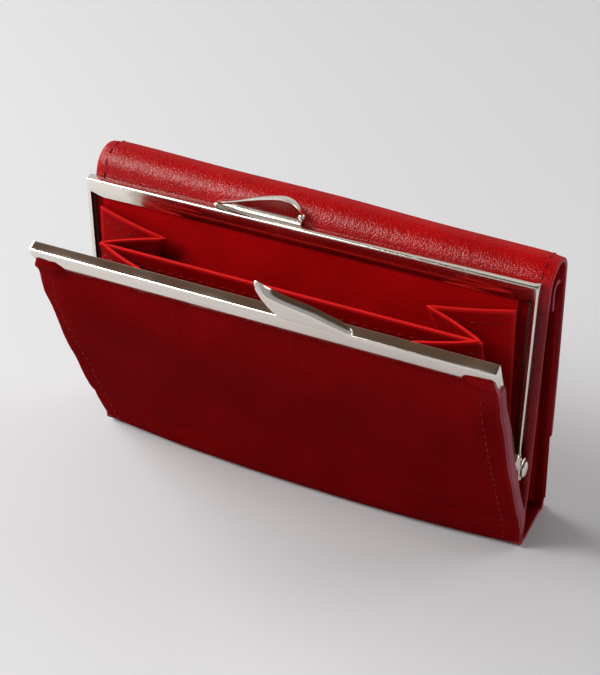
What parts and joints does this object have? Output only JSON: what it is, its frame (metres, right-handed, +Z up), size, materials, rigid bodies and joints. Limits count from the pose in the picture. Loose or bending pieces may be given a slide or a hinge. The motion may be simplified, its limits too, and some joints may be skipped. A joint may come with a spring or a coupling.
{
  "type": "coin purse",
  "caption": "Flat red leather coin purse standing on its base, kiss-lock frame open over a pleated divided pocket, with a rolled top flap and a back cover.",
  "frame": {"origin": "On the resting face under the purse, midway along its length, 10 mm behind the plane in which the two frames meet when shut.", "axes": "+X runs along the purse's length to the right as seen from the coin pocket's side, +Y from the coin pocket to the flap, +Z up."},
  "size_m": [0.124, 0.0541, 0.0866],
  "materials": {
    "red_leather": "smooth calf leather with a fine grain, semi-gloss",
    "inner_leather": "thin smooth leather, folded in pleats, satin",
    "lining": "thin smooth leather lining, satin",
    "polished_metal": "polished nickel plate",
    "paper_cord": "twisted paper cord",
    "board": "thin stiffener board"
  },
  "bodies": {
    "root": {"rear_frame": "polished_metal", "hinge_rivets": "polished_metal", "rear_clasp": "polished_metal", "rear_cord": "paper_cord", "front_fold": "red_leather", "base_wrap": "red_leather", "pocket_back": "red_leather", "pocket_lining": "lining", "left_gusset": "inner_leather", "right_gusset": "inner_leather", "back_panel": "red_leather", "top_roll": "red_leather", "roll_fold": "red_leather", "spine_fold": "red_leather"},
    "front_frame_body": {"front_frame": "polished_metal", "front_clasp": "polished_metal", "front_cord": "paper_cord", "front_panel": "red_leather", "front_board": "board", "front_lining": "lining"},
    "divider_body": {"divider": "inner_leather"},
    "flap_body": {"flap_leather": "red_leather", "flap_board": "board", "flap_lining": "lining", "stud_cap": "polished_metal", "stud_socket": "polished_metal"},
    "cover_body": {"cover_leather": "red_leather", "cover_board": "board", "cover_lining": "lining", "card_pocket_1": "lining", "card_pocket_2": "lining", "card_pocket_3": "lining", "stud_ball": "polished_metal", "stud_post": "polished_metal"}
  },
  "joints": [
    {"name": "coin_frame_open", "type": "hinge", "parent": "root", "child": "front_frame_body", "pos_m": [0, -0.01, 0.0284], "axis": [1, 0, 0], "range_deg": [-27.5, 31.5], "deforming": ["left_gusset", "right_gusset", "front_fold"]},
    {"name": "divider_swing", "type": "hinge", "parent": "root", "child": "divider_body", "pos_m": [0, -0.01, 0.0284], "axis": [1, 0, 0], "range_deg": [-11.3, 12.95]},
    {"name": "flap_lift", "type": "hinge", "parent": "root", "child": "flap_body", "pos_m": [0, -0.0001, 0.084], "axis": [1, 0, 0], "range_deg": [0, 160], "deforming": ["roll_fold"]},
    {"name": "cover_open", "type": "hinge", "parent": "root", "child": "cover_body", "pos_m": [0, 0.0106, 0.0012], "axis": [-1, 0, 0], "range_deg": [0, 27.2], "deforming": ["spine_fold"]}
  ],
  "couplings": [
    {"joint": "divider_swing", "follows": "coin_frame_open", "ratio": 0.41},
    {"joint": "cover_open", "follows": "flap_lift", "ratio": 0.17}
  ]
}
